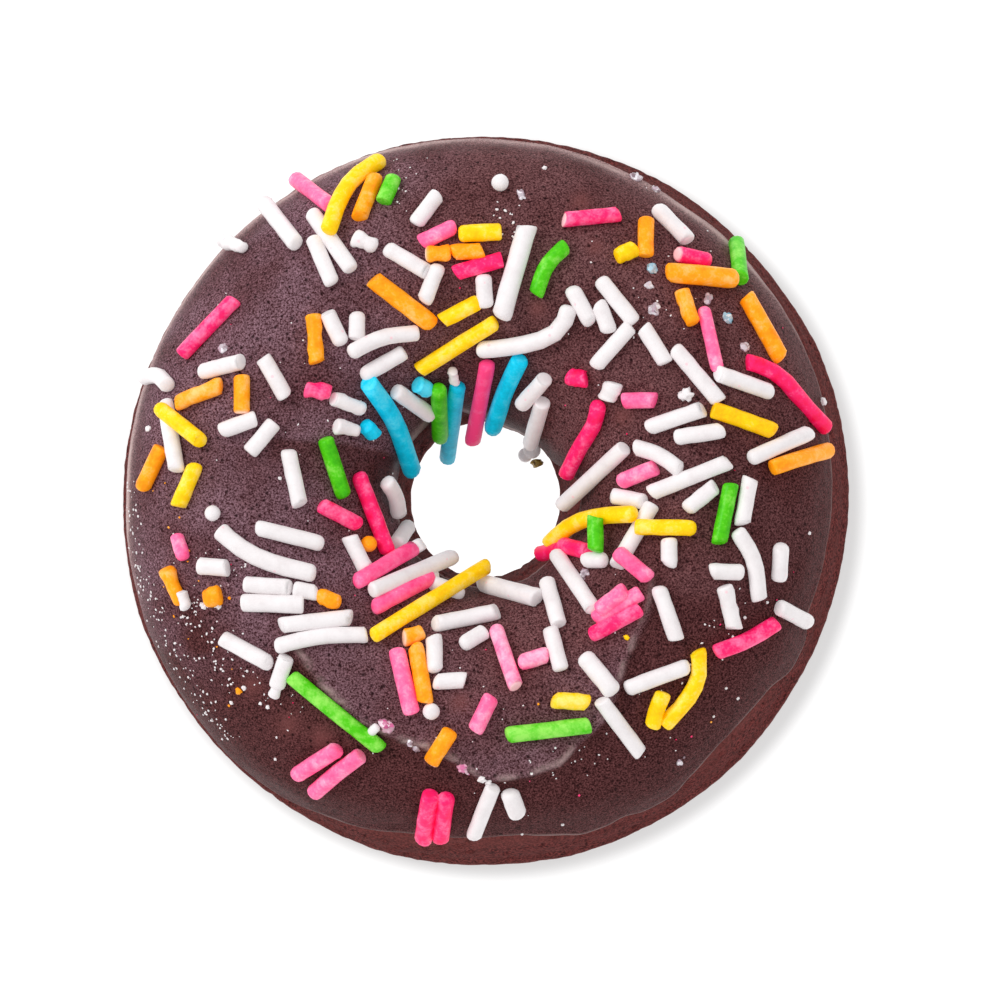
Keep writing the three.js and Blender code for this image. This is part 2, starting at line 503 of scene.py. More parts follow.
def knife_step(points):
    """What the knife left: thicker inside its line, with a low crest on the line."""
    degrees = np.degrees(np.arctan2(points[:, 1], points[:, 0]))
    radius = np.hypot(points[:, 0], points[:, 1])
    line = np.interp(degrees, [at for at, _ in STEP_LINE], [far for _, far in STEP_LINE])
    line = line + 0.35 * humps(points, 4, 11)
    along = smoothstep(-152, -118, degrees) * (1 - smoothstep(-32, -22, degrees))
    inside = 1 - smoothstep(-STEP_WIDTH / 2, STEP_WIDTH / 2, radius - line)
    crest = np.exp(-(((radius - line + STEP_WIDTH / 2) / 0.5) ** 2))
    furrow = np.exp(-(((radius - line - STEP_WIDTH) / 0.7) ** 2))
    return along, inside, crest, furrow


def crease(points):
    """The fold left of the hole: 1 just below its line, fading out further down."""
    line = CREASE_TO - CREASE_FROM
    offset = points[:, :2] - CREASE_FROM
    along = offset @ line / (line @ line)
    above = (offset[:, 0] * -line[1] + offset[:, 1] * line[0]) / np.hypot(*line)
    above = above + 0.4 * humps(points, 4, 12)
    fade = smoothstep(-0.05, 0.3, along) * (1 - smoothstep(0.95, 1.1, along))
    return fade * (1 - smoothstep(-0.35, 0.35, above)) * smoothstep(-7, -0.5, above)


def spots(points, places):
    """1 in the middle of each spot, fading out to its edge."""
    total = np.zeros(len(points))
    for x, y, half_width, *_ in places:
        total += np.exp(-(((points[:, 0] - x) ** 2 + (points[:, 1] - y) ** 2) / half_width**2))
    return np.clip(total, 0, 1)


frosting, angle, share = spin_plain_ring("frosting_coat", FROSTING_SECTION_STEPS, FROSTING_TURN_STEPS)
outer_turn = turn_at_height(coat_edge(angle, OUTER_EDGE, OUTER_RUNS, 21))
inner_turn = math.pi - turn_at_height(coat_edge(angle, INNER_EDGE, INNER_RUNS, 24))
on_top = share < FROSTING_UPPER_SHARE
across = np.where(on_top, share / FROSTING_UPPER_SHARE, (1 - share) / (1 - FROSTING_UPPER_SHARE))
eased = np.where(on_top, (1 - np.cos(across * math.pi)) / 2, across)
turn = outer_turn + (inner_turn - outer_turn) * eased
from_edge = np.minimum(turn - outer_turn, inner_turn - turn) * (WALL_HALF_WIDTH + CROWN_HEIGHT) / 2
lip = LIP_THICKNESS * np.sqrt(1 - (1 - np.clip(from_edge / LIP_THICKNESS, 0, 1)) ** 2)
body = (FROSTING_THICKNESS - LIP_THICKNESS) * smoothstep(0, LIP_TAPER, from_edge)
off_cake = np.where(on_top, COAT_GAP + lip + body, -COAT_SUNK)
move_points(frosting, stand_up(angle, *off_cake_outline(turn, off_cake)))

points = points_of(frosting)
step_along, step_inside, step_crest, step_furrow = knife_step(points)
crease_low = crease(points)
inner_part = smoothstep(0, 1.2, from_edge)
relief = STEP_HEIGHT * step_along * step_inside + STEP_CREST * step_along * step_crest
relief -= STEP_FURROW * step_along * step_furrow
relief -= CREASE_DEPTH * crease_low
relief += inner_part * (0.3 * humps(points, 11, 13) + 0.12 * humps(points, 4, 14))
relief += inner_part * 0.05 * humps(points, 1.1, 15)
for pit in PITS:
    relief -= pit[3] * spots(points, [pit])
points += points_of(frosting, "normal") * (relief * on_top)[:, None]
move_points(frosting, points)


def store(piece, name, values):
    """Keeps one value for each of a mesh's points, for its material."""
    layer = piece.data.attributes.new(name, "FLOAT", "POINT")
    layer.data.foreach_set("value", values.astype(np.float32))


outside_step = step_along * (1 - step_inside)
wall = 1 - smoothstep(2, 9, from_edge)
radius = np.hypot(points[:, 0], points[:, 1])
right_side = smoothstep(24, 32, points[:, 0]) * (1 - smoothstep(2, 16, points[:, 1]))
front_left = smoothstep(28, 33, radius) * smoothstep(0.2, 0.6, -points[:, 1] / radius)
in_step = step_along * step_inside
# Browner and plainer where smoothed; in the crease this is painted shade, and on the right side and along
# the front edge partly painted shade.
wiped_and_shaded = outside_step + (0.7 * right_side + 0.7 * front_left) * (1 - in_step) + 0.8 * crease_low + 0.3 * wall
store(frosting, "smooth_and_shade", np.clip(wiped_and_shaded, 0, 1))
# Painted highlight along the knife step's crest, broken in places.
store(frosting, "crest", step_along * step_crest**3 * smoothstep(-0.3, 0.4, humps(points, 2.2, 16)))
store(frosting, "thin", spots(points, THIN_SPOTS))
# Painted reflection: a pale grainy band on the outer wall at the back left, for the white surroundings seen
# in it.
back_left = smoothstep(-0.1, 0.5, (points[:, 1] * 0.91 - points[:, 0] * 0.42) / radius)
outer_wall = (1 - smoothstep(0.5, 5, from_edge)) * (radius > MIDDLE_RADIUS)
store(frosting, "painted_wall_reflection", back_left * outer_wall)
# Painted highlight: a thin pale line just inside the lip, wider and stronger at the back left.
lip_highlight_line = np.exp(-(((from_edge - 0.4 - back_left) / (0.3 + 0.6 * back_left)) ** 2))
store(frosting, "lip", on_top * lip_highlight_line * (0.5 + 0.5 * back_left))
# Painted sheen: a cooler purple grey on the grains over the left half and just inside the knife step.
left_half = 1 - smoothstep(-16, 2, points[:, 0] + 4 * humps(points, 9, 17))
store(frosting, "painted_cool_sheen", np.maximum(left_half, 0.8 * in_step * smoothstep(20, 27, radius)))


def set_cocoa_frosting():
    """Set cocoa frosting: nearly black brown with a fine grainy skin, whose pale grains are partly painted
    glints, and with a purple grey painted sheen over its left half and just inside the knife step.

    It is browner and plainer outside the knife step and down the wall, where the knife or its own weight
    smoothed it. On the right side and along the front edge it is browner and plainer too, partly as painted
    shade, and in the crease that colour is painted shade. The lip and the step's crest have a thin pale
    painted highlight, and the wall at the back left has a pale grainy painted reflection.
    """
    cocoa = new_material("set_cocoa_frosting", roughness=0.4, specular_ior_level=0.015)
    place = add_node(cocoa, "TexCoord").outputs["Object"]
    grain = add_node(
        cocoa, "TexNoise", {"Vector": place, "Scale": 1 / (0.2 * MM), "Detail": 3.0, "Roughness": 0.75}
    ).outputs[0]
    patch = add_node(cocoa, "TexNoise", {"Vector": place, "Scale": 1 / (7 * MM), "Detail": 3.0}).outputs[0]
    pit = add_node(cocoa, "TexVoronoi", {"Vector": place, "Scale": 1 / (1.1 * MM)}).outputs["Distance"]
    painted_cool_sheen, smooth_and_shade, lip_highlight_line, crest, thin, painted_wall_reflection = (
        add_node(cocoa, "Attribute", attribute_name=name).outputs["Fac"]
        for name in ("painted_cool_sheen", "smooth_and_shade", "lip", "crest", "thin", "painted_wall_reflection")
    )
    plain_patch, reflection_grain, broken_line = (
        add_node(
            cocoa,
            "MapRange",
            dict(zip(RANGE_SOCKETS, (*ends, *shares)), Value=value),
        ).outputs[0]
        for value, ends, shares in (
            (patch, (0.42, 0.66), (0, 0.6)),
            (grain, (0.4, 0.62), (0, 0.8)),
            (patch, (0.35, 0.65), (0.15, 0.8)),
        )
    )
    smoothed_and_shaded = add_node(cocoa, "Math", {0: smooth_and_shade, 1: plain_patch}, operation="ADD", use_clamp=True)
    wall_reflection = add_node(cocoa, "Math", {0: painted_wall_reflection, 1: reflection_grain}, operation="MULTIPLY")
    # Painted highlights along the lip and the step's crest, broken up in patches.
    dried = add_node(cocoa, "Math", {0: lip_highlight_line, 1: crest}, operation="MAXIMUM")
    broken_edge_highlight = add_node(cocoa, "Math", {0: dried.outputs[0], 1: broken_line}, operation="MULTIPLY")
    # The pale grains are partly grain colour and partly painted glints, cooler under the painted sheen.
    fleck = lay_colours(cocoa, "#96686a", [(painted_cool_sheen, WHOLE, WHOLE, "#a8828f")])
    plain = lay_colours(cocoa, "#280e0f", [(grain, (0.4, 0.7), WHOLE, "#7a4a4b")])
    colour = lay_colours(
        cocoa,
        "#38191c",
        [
            (grain, (0.4, 0.7), WHOLE, fleck),
            (smoothed_and_shaded.outputs[0], WHOLE, WHOLE, plain),
            (thin, WHOLE, (0, 0.5), "#804c4a"),
            # Painted shade: small pits darkened.
            (pit, (0.1, 0.22), (0.85, 0), "#1d0b0c"),
            # Painted reflection on the back left wall.
            (wall_reflection.outputs[0], WHOLE, WHOLE, "#cfa9a8"),
            # Painted highlight along the lip and the step's crest.
            (broken_edge_highlight.outputs[0], WHOLE, WHOLE, "#c8aeaa"),
        ],
    )
    bump = add_node(cocoa, "Bump", {"Height": grain, "Strength": 0.9, "Distance": 0.1 * MM})
    finish_material(cocoa, {"Base Color": colour, "Normal": bump.outputs[0]})
    return cocoa


frosting.data.materials.append(set_cocoa_frosting())
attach(frosting, "root")
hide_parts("frosting")


# ---------------------------------------------------------------------------------------------------
# The white sugar sprinkles. Sugar paste pressed out in strands about 1.8 mm thick, dried and broken
# to length, so most are rods with blunt round ends, some bent, some chipped. They were strewn on the
# soft frosting and are a little sunk in it, and a few lie on others or stick out past an edge.
ROD_SIDES = 12
ROD_HALF_LENGTH = 4
ROD_END_ROUND = 0.5
BLUNTEST_END = 0.2
ROUNDEST_END = 0.8
SUNK_SHARE = 0.3
MOST_BURIED = 0.75
LOWEST_SEAT = 7
HEIGHT_WITH_NO_SEAT = 16
ABOVE_ALL = 60
LINE_STEPS = 9

chance = random.Random(41)
frosting_skin = BVHTree.FromObject(frosting, bpy.context.evaluated_depsgraph_get())


def model_rod():
    """The rod that every sprinkle is a copy of: 1 in radius, along Z, with blunt rounded ends."""
    bpy.ops.object.select_all(action="DESELECT")
    bpy.ops.mesh.primitive_cylinder_add(vertices=ROD_SIDES, radius=1, depth=2 * ROD_HALF_LENGTH)
    rod_model = bpy.context.active_object
    bpy.ops.object.mode_set(mode="EDIT")
    bpy.ops.mesh.select_mode(type="EDGE")
    select_edges(rod_model, lambda low, high: high.z - low.z > ROD_HALF_LENGTH)
    bpy.ops.mesh.subdivide(number_cuts=6)
    select_edges(rod_model, lambda low, high: min(abs(low.z), abs(high.z)) > ROD_HALF_LENGTH - 0.01)
    bpy.ops.mesh.bevel(offset=ROD_END_ROUND, segments=3, affect="EDGES")
    bpy.ops.object.mode_set(mode="OBJECT")
    bpy.ops.object.shade_smooth()
    return rod_model


def model_pearl():
    """A ball of the same paste, for the short broken pellets."""
    bpy.ops.object.select_all(action="DESELECT")
    bpy.ops.mesh.primitive_uv_sphere_add(segments=ROD_SIDES, ring_count=9, radius=1)
    bpy.ops.object.shade_smooth()
    return bpy.context.active_object


def select_edges(piece, wanted):
    """Selects the edges for which wanted(lower end, upper end) holds."""
    bpy.ops.mesh.select_all(action="DESELECT")
    edit = bmesh.from_edit_mesh(piece.data)
    for edge in edit.edges:
        low, high = sorted((vert.co for vert in edge.verts), key=lambda co: co.z)
        edge.select_set(wanted(low, high))
    bmesh.update_edit_mesh(piece.data)


rod_model = model_rod()
pearl_model = model_pearl()


def frosting_below(x, y):
    """Where a line down from a place meets the frosting, and its normal there."""
    return frosting_skin.ray_cast(Vector((x, y, ABOVE_ALL)) * MM, Vector((0, 0, -1)))[:2]


def seat_height(x, y, radius):
    """Height in mm at which a rod's middle rests over a place, or None where no frosting is below."""
    hit, normal = frosting_below(x, y)
    if hit is None or hit.z < LOWEST_SEAT * MM:
        return None
    return hit.z / MM + radius * (1 - SUNK_SHARE) / max(normal.z, 0.5)


def smooth_line(corners, count):
    """Even points on a smooth curve through the corners."""
    corners = np.array(corners, float)
    lengths = np.hypot(*np.diff(corners[:, :2], axis=0).T)
    at = np.concatenate([[0], np.cumsum(lengths)])
    slopes = np.gradient(corners, at, axis=0) if len(corners) > 2 else None
    line = []
    for where in np.linspace(0, at[-1], count):
        i = min(np.searchsorted(at, where, side="right") - 1, len(at) - 2)
        gap = at[i + 1] - at[i]
        s = (where - at[i]) / gap
        if slopes is None:
            line.append(corners[i] + (corners[i + 1] - corners[i]) * s)
            continue
        line.append(
            (2 * s**3 - 3 * s**2 + 1) * corners[i]
            + (s**3 - 2 * s**2 + s) * gap * slopes[i]
            + (3 * s**2 - 2 * s**3) * corners[i + 1]
            + (s**3 - s**2) * gap * slopes[i + 1]
        )
    return np.array(line)


def lie_on_frosting(line, radius, up):
    """Heights in mm for a rod's middle line: half straight, half following the frosting below it."""
    share = np.linspace(0, 1, len(line))
    seats = [seat_height(x, y, radius) for x, y in line]
    known = np.array([seat is not None for seat in seats])
    heights = np.array([seat or 0 for seat in seats], float)
    if known.sum() < 2:
        return np.full(len(line), heights.max() if known.any() else HEIGHT_WITH_NO_SEAT)
    straight = np.polyval(np.polyfit(share[known], heights[known], 1), share)
    heights = np.where(known, heights, straight)
    curved = np.polyval(np.polyfit(share, heights, 2), share)
    lie = (straight + curved) / 2
    buried = np.max((heights - lie)[known])
    lie += max(buried - MOST_BURIED * radius, 0)
    return lie + up[0] * (1 - share) + up[1] * share


def sprinkle(*corners, thick=1.8, up=(0, 0), cut="", lumps=0.03, taper=0.0, milky=0.0):
    """One sprinkle along the corners, given in mm from tip to tip. up lifts its two ends off the frosting.

    cut says which end is broken and shows the pale inside. lumps and taper are shares of its radius.
    milky is how much paler than its kind it is. Corners with a height of their own aren't laid on the
    frosting.
    """
    model = rod_model
    radius = thick / 2
    if len(corners) == 1:
        model = pearl_model
        x, y = corners[0][:2]
        corners = [(x - radius, y, *corners[0][2:]), (x + radius, y, *corners[0][2:])]
    line = smooth_line(corners, LINE_STEPS)
    if line.shape[1] == 2:
        line = np.column_stack([line, lie_on_frosting(line, radius, up)])
    length = np.linalg.norm(np.diff(line, axis=0), axis=1).sum()
    half = max(length / 2 / radius, 1)
    model_half = ROD_HALF_LENGTH if model is rod_model else 1
    roll = chance.uniform(0, 2 * math.pi)
    slants = [chance.uniform(-0.4, 0.4), chance.uniform(-0.4, 0.4)]
    rounds = [chance.uniform(BLUNTEST_END, ROUNDEST_END), chance.uniform(BLUNTEST_END, ROUNDEST_END)]
    seed = chance.uniform(0, 50)

    shape = np.zeros(len(model.data.vertices) * 3)
    model.data.vertices.foreach_get("co", shape)
    shape = shape.reshape(-1, 3)
    x, y, z = shape.T
    along = z.copy()
    if model is rod_model:
        end_round = np.where(z > 0, rounds[1], rounds[0])
        into_end = np.clip(np.abs(z) - (model_half - ROD_END_ROUND), 0, None) / ROD_END_ROUND
        narrowed = 1 - (1 - np.hypot(x, y)) * end_round / ROD_END_ROUND
        x, y = x / np.hypot(x, y) * narrowed, y / np.hypot(x, y) * narrowed
        straight = np.clip(z / (model_half - ROD_END_ROUND), -1, 1) * (half - end_round)
        slant = np.where(z > 0, slants[1], slants[0]) * (into_end > 0)
        along = straight + np.sign(z) * into_end * end_round + slant * x

    share = np.clip((along / half + 1) / 2, 0, 1)
    steps = np.linspace(0, 1, LINE_STEPS)
    centre = np.stack([np.interp(share, steps, line[:, i]) for i in range(3)], axis=1)
    tangents = np.gradient(line, axis=0)
    tangent = np.stack([np.interp(share, steps, tangents[:, i]) for i in range(3)], axis=1)
    tangent /= np.linalg.norm(tangent, axis=1)[:, None]
    past_end = (along - np.clip(along, -half, half))[:, None] * radius
    centre = centre + tangent * past_end
    reference = np.array([0, 0, 1.0]) if abs(tangent[0, 2]) < 0.85 else np.array([0, 1.0, 0])
    side = np.cross(tangent, reference)
    side /= np.linalg.norm(side, axis=1)[:, None]
    over = np.cross(side, tangent)
    across_x = math.cos(roll) * x - math.sin(roll) * y
    across_y = math.sin(roll) * x + math.cos(roll) * y
    swell = [
        noise.noise(Vector((a * 0.8 + seed, b * 0.5, c * 0.5 + seed)))
        + 0.5 * noise.noise(Vector((a * 2.1 + seed, b * 1.2, c * 1.2 - seed)))
        for a, b, c in zip(along, x, y)
    ]
    width = radius * (1 + lumps * 2 * np.array(swell)) * (1 - taper * share)
    placed = centre + (side * across_x[:, None] + over * across_y[:, None]) * width[:, None]

    piece = model.copy()
    piece.data = model.data.copy()
    bpy.context.scene.collection.objects.link(piece)
    move_points(piece, placed)
    pale = np.zeros(len(z))
    if cut in ("start", "both"):
        pale += smoothstep(model_half - 0.35, model_half - 0.02, -z)
    if cut in ("end", "both"):
        pale += smoothstep(model_half - 0.35, model_half - 0.02, z)
    store(piece, "broken", pale)
    store(piece, "milky", np.full(len(z), milky + chance.uniform(-0.12, 0.12)))
    return piece


def gather(name, pieces, material):
    """Joins the sprinkles of one colour into one piece."""
    bpy.ops.object.select_all(action="DESELECT")
    for piece in pieces:
        piece.select_set(True)
    bpy.context.view_layer.objects.active = pieces[0]
    bpy.ops.object.join()
    joined = bpy.context.active_object
    joined.name = name
    joined.data.materials.clear()
    joined.data.materials.append(material)
    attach(joined, "root")


def sugar_paste(name, colour, pale, deep, fleck=None):
    """Dried sugar paste with a thin polish: satin, dyed unevenly in cloudy paler and deeper patches.

    A faint painted glow in its deep colour stands in for the little light that passes through it, and
    lifts its shaded side. A broken end is nearly white and crumbly. A fleck is a stray grain of dyed sugar
    in white paste.
    """
    paste = new_material(
        name,
        roughness=0.4,
        specular_ior_level=0.16,
        coat_weight=0.05,
        coat_roughness=0.2,
        # Painted glow: a faint emission in the deep colour, standing in for light that passes through.
        emission_color=linear(deep),
        emission_strength=0.2,
    )
    place = add_node(paste, "TexCoord").outputs["Object"]
    cloud = add_node(
        paste, "TexNoise", {"Vector": place, "Scale": 1 / (1.6 * MM), "Detail": 4.0, "Roughness": 0.6}
    ).outputs[0]
    speck = add_node(paste, "TexNoise", {"Vector": place, "Scale": 1 / (0.3 * MM), "Detail": 2.0}).outputs[0]
    stray = add_node(paste, "TexVoronoi", {"Vector": place, "Scale": 1 / (2.1 * MM)}).outputs["Distance"]
    milky = add_node(paste, "Attribute", attribute_name="milky").outputs["Fac"]
    broken = add_node(paste, "Attribute", attribute_name="broken").outputs["Fac"]
    clouded = add_node(
        paste, "MapRange", {"Value": cloud, "From Min": 0.3, "From Max": 0.7, "To Min": -0.85, "To Max": 0.6}
    )
    specked = add_node(
        paste, "MapRange", {"Value": speck, "From Min": 0.45, "From Max": 0.7, "To Max": 0.35}
    )
    paler = add_node(paste, "Math", {0: clouded.outputs[0], 1: milky}, operation="ADD")
    tone = add_node(paste, "Math", {0: paler.outputs[0], 1: specked.outputs[0]}, operation="ADD").outputs[0]
    layers = [
        (tone, (0, -1), WHOLE, deep),
        (tone, WHOLE, WHOLE, pale),
        (broken, WHOLE, (0, 0.75), "#f2e6e2"),
    ]
    if fleck:
        layers.append((stray, (0.05, 0.11), (0.7, 0), fleck))
    bump = add_node(paste, "Bump", {"Height": speck, "Strength": 0.35, "Distance": 0.06 * MM})
    finish_material(paste, {"Base Color": lay_colours(paste, colour, layers), "Normal": bump.outputs[0]})
    return paste


white_rods = [
    sprinkle((-23.9, 32.2), (-19.6, 26.7), thick=1.9),
    sprinkle((-28.4, 28.0), (-25.6, 26.7), lumps=0.15, taper=0.3),
    sprinkle((-4.2, 32.0), (-6.6, 28.7)),
    sprinkle((-9.8, 26.2), (-5.1, 23.4)),
    sprinkle((-3.9, 24.3), (-5.6, 20.1)),
    sprinkle((-13.3, 27.4), (-10.7, 26.2), lumps=0.16),
    sprinkle((-18.1, 30.4), (-13.4, 23.7)),
    sprinkle((-17.8, 27.4), (-15.5, 22.1)),
    sprinkle((2.6, 33.4), thick=1.9),
    sprinkle((-16.1, 19.1), (-14.4, 15.5)),
    sprinkle((-12.8, 19.2), (-12.9, 16.0)),
    sprinkle((-13.7, 14.5), (-10.2, 16.3), (-6.2, 16.9), up=(1.2, 0.1)),
    sprinkle((-12.4, 12.2), (-7.7, 14.9)),
    sprinkle((-15.5, 9.8), (-12.4, 8.7), thick=1.65, lumps=0.1),
    sprinkle((-15.3, 6.8), (-12.7, 6.3), lumps=0.12, taper=0.35),
    sprinkle((-8.9, 10.8), (-5.4, 8.5)),
    sprinkle((-2.7, 13.1), (-2.5, 11.6), thick=1.0, lumps=0.25, up=(0.8, 0.8)),
    sprinkle((-23.1, 14.2), (-21.9, 12.2), (-20.6, 9.8)),
    sprinkle((-29.9, 12.8), (-25.4, 13.8)),
    sprinkle((-27.7, 6.2), (-23.8, 7.6)),
    sprinkle((-24.6, 3.8), (-21.8, 7.1)),
    sprinkle((-36.8, 12.9), (-35.2, 12.8), (-33.7, 11.4)),
    sprinkle((-34.1, 9.9), (-32.6, 2.0), up=(0, 0.5)),
    sprinkle((-20.4, 4.2), (-19.1, -1.9)),
    sprinkle((5.7, 28.4), (2.8, 18.3), thick=2.2),
    sprinkle((0.9, 23.2), (1.1, 19.6)),
    sprinkle((0.2, 15.1), (4.3, 15.5), (7.6, 16.2), (9.3, 17.3), (10.3, 19.7), thick=1.95),
    sprinkle((7.5, 12.0), (4.6, 9.2), up=(0.2, 1.3)),
    sprinkle((7.1, 9.6), (5.4, 5.5)),
    sprinkle((19.5, 30.9), (23.1, 27.1)),
    sprinkle((10.4, 21.8), (12.7, 17.7)),
    sprinkle((13.4, 20.1), (14.7, 16.7)),
    sprinkle((13.5, 22.7), (17.4, 17.8)),
    sprinkle((12.9, 13.0), (17.0, 17.5)),
    sprinkle((18.3, 17.4), (20.8, 13.4)),
    sprinkle((14.2, 9.5), (15.3, 11.3), thick=2.1, lumps=0.16),
    sprinkle((21.6, 15.2), (26.6, 9.2)),
    sprinkle((26.3, 12.3), (32.1, 10.4), up=(0.5, 0)),
    sprinkle((29.8, 3.0), (36.2, 6.2)),
    sprinkle((21.6, 5.3), (27.1, 6.1)),
    sprinkle((18.7, 6.4), (24.8, 8.4)),
    sprinkle((16.2, 4.3), (8.9, -1.6)),
    sprinkle((17.3, 4.4), (20.1, 3.4), (22.4, 1.7)),
    sprinkle((19.0, -0.7), (27.7, 2.7)),
    sprinkle((14.8, -0.8), (18.4, -1.6)),
    sprinkle((22.9, -2.6), (26.2, 0.1)),
    sprinkle((29.9, 1.0), (29.0, -4.1)),
    sprinkle((-28.6, -2.7), thick=1.75),
    sprinkle((-32.2, -11.0), (-31.6, -13.1), thick=1.3, lumps=0.2, milky=0.3),
    sprinkle((-30.2, -8.4), (-26.9, -8.7), thick=1.9),
    sprinkle((-27.9, -4.5), (-25.7, -6.4), (-22.9, -7.9), (-17.3, -9.4), thick=2.0),
    sprinkle((-23.9, -4.3), (-16.5, -6.1)),
    sprinkle((-25.1, -10.5), (-20.0, -10.9)),
    sprinkle((-19.8, -11.0), (-17.0, -11.5)),
    sprinkle((-25.4, -12.5), (-18.6, -12.7), thick=2.0),
    sprinkle((-21.2, -15.0), (-13.4, -14.1)),
    sprinkle((-21.8, -17.3), (-16.8, -16.2), (-11.7, -16.0)),
    sprinkle((-27.7, -16.2), (-22.2, -19.2)),
    sprinkle((-20.5, -18.4), (-21.7, -21.8)),
    sprinkle((-21.3, -20.8), (-22.0, -22.7), thick=1.3, lumps=0.12),
    sprinkle((-13.9, -5.1), (-12.0, -8.8)),
    sprinkle((-11.3, -11.2), (-2.9, -7.0), up=(0.8, 1.3)),
    sprinkle((-10.0, 1.1, 17.6), (-9.3, 0.0, 15.6), (-8.9, -2.2, 12.6)),
    sprinkle((-8.1, -3.5), (-9.0, -5.8)),
    sprinkle((-7.2, -5.4), (-6.4, -6.6)),
    sprinkle((-5.5, -8.2), (-5.1, -9.6)),
    sprinkle((-5.2, -10.0), (-1.6, -11.3)),
    sprinkle((0.2, -9.9), (6.7, -11.9), thick=2.1),
    sprinkle((-4.6, -14.8), (2.4, -13.3)),
    sprinkle((-1.6, -17.2), (1.1, -15.5)),
    sprinkle((-4.5, -16.2), (-4.3, -20.1)),
    sprinkle((-4.5, -21.2), (-1.0, -21.0)),
    sprinkle((7.6, -10.0), (9.1, -14.9)),
    sprinkle((8.1, -15.2), (9.4, -20.0)),
    sprinkle((8.6, -7.0), (13.0, -13.5)),
    sprinkle((19.3, -1.8), (15.3, -8.6)),
    sprinkle((11.6, -7.8), (14.3, -7.9)),
    sprinkle((21.1, -5.6), (21.1, -8.8)),
    sprinkle((11.7, -18.2), (15.2, -22.5), thick=2.1),
    sprinkle((16.3, -22.0), (23.3, -19.4)),
    sprinkle((19.9, -10.8), (21.9, -16.7)),
    sprinkle((28.4, -4.7), (30.1, -7.6), (30.8, -12.3)),
    sprinkle((33.2, -6.1), (32.9, -10.1)),
    sprinkle((25.5, -9.2), (29.1, -9.3)),
    sprinkle((27.1, -10.8), (28.1, -15.4), lumps=0.08),
    sprinkle((32.9, -12.9), (35.8, -14.2)),
    sprinkle((5.15, 5.45, 1.7), thick=1.95),
    sprinkle((4.4, 4.93, 1.2), thick=1.6),
    sprinkle((-11.4, -26.7), (-10.5, -25.9), thick=1.0, lumps=0.12),
    sprinkle((-4.7, -24.4), thick=1.88),
    sprinkle((1.9, -32.5), (-0.6, -37.8), thick=1.75),
    sprinkle((3.6, -32.9), (4.5, -35.6), thick=2.1),
    sprinkle((13.7, -23.2), (17.9, -28.9), thick=1.75),
]
white_paste = sugar_paste("dried_white_sugar_paste", "#e0dbdc", "#e6e2e3", "#d6cfd0", fleck="#f0b4bf")
gather("white_sprinkles", white_rods, white_paste)


# ---------------------------------------------------------------------------------------------------
# The light pink sprinkles. The same paste, dyed a milky pink. A few are cut off clean and show
# their pale inside.
light_pink_rods = [
    sprinkle((-20.5, 34.8), (-15.8, 30.9), milky=-0.2),
    sprinkle((-5.9, 26.7), (-2.1, 28.5)),
    sprinkle((24.8, 19.6), (26.4, 12.5), thick=1.5),
    sprinkle((1.2, 13.8), (-1.1, 5.7), milky=-0.9),
    sprinkle((16.0, 9.4), (19.6, 9.4)),
    sprinkle((15.5, 0.6), (19.6, 2.1)),
    sprinkle((-32.7, -4.9), (-31.8, -7.7), thick=1.6),
    sprinkle((-13.0, -10.3), (-7.1, -6.2), up=(0.7, 1.5), milky=-0.4),
    sprinkle((-11.1, -13.1), (-5.2, -9.5), milky=-0.4),
    sprinkle((-8.5, -17.7), (-6.8, -24.7), thick=1.9),
    sprinkle((2.1, -15.0), (4.5, -21.8), thick=1.7, cut="end", milky=0.5),
    sprinkle((4.7, -19.2), (8.0, -18.2), milky=0.45),
    sprinkle((15.3, -7.0), (19.1, -10.1), up=(1.3, 0.2)),
    sprinkle((12.9, -14.5), (18.1, -11.5)),
    sprinkle((13.3, -13.6), (16.4, -11.2), up=(0.9, 0.9)),
    sprinkle((1.9, -22.7), (0.0, -26.6), thick=1.85, milky=0.1),
    sprinkle((-20.0, -31.2), (-14.8, -28.2), thick=1.85),
    sprinkle((-18.1, -33.1), (-15.2, -30.9), (-12.4, -29.0), thick=1.85),
]
light_pink_paste = sugar_paste("dried_light_pink_sugar_paste", "#fa74a4", "#fdbcd4", "#f5427f")
gather("light_pink_sprinkles", light_pink_rods, light_pink_paste)


# ---------------------------------------------------------------------------------------------------
# The hot pink sprinkles. The same paste with much more dye, deep and red where it is thickest. Two
# of them dried side by side and stuck together.
hot_pink_rods = [
    sprinkle((9.6, 29.2), (15.7, 29.9), thick=1.7, cut="start", milky=0.3),
    sprinkle((21.8, 25.6), (25.6, 24.8), cut="start"),
    sprinkle((-18.5, 10.8), (-15.7, 10.4), lumps=0.12, milky=0.45),
    sprinkle((-16.9, -1.8), (-12.7, -3.9), milky=0.35),
    sprinkle((12.5, -16.2), (18.0, -13.3), milky=0.3),
    sprinkle((-26.3, 20.8), (-32.3, 14.8), thick=1.75, milky=0.2),
    sprinkle((-2.2, 23.3), (3.0, 24.8)),
    sprinkle((10.0, 12.3), (12.1, 11.8), thick=1.9, lumps=0.14),
    sprinkle((13.4, 9.2), (12.8, 6.9), (11.4, 5.0), (9.4, 1.7)),
    sprinkle((29.5, 13.7), (31.5, 13.1), (33.3, 12.1), (35.2, 9.8), (38.0, 6.9), milky=-0.2),
    sprinkle((-13.0, 1.9), (-9.7, -6.9)),
    sprinkle((6.6, -6.6), (9.2, -6.4), milky=-0.6),
    sprinkle((9.1, -5.9), (12.5, -7.0)),
    sprinkle((26.0, -18.0), (30.2, -16.2), (32.6, -14.6), milky=0.25),
    sprinkle((-4.9, -33.2), (-6.1, -37.9), thick=2.0),
    sprinkle((-3.2, -33.4), (-4.2, -38.0), thick=1.9),
]
hot_pink_paste = sugar_paste("dried_hot_pink_sugar_paste", "#f92470", "#fd80ae", "#ec0444")
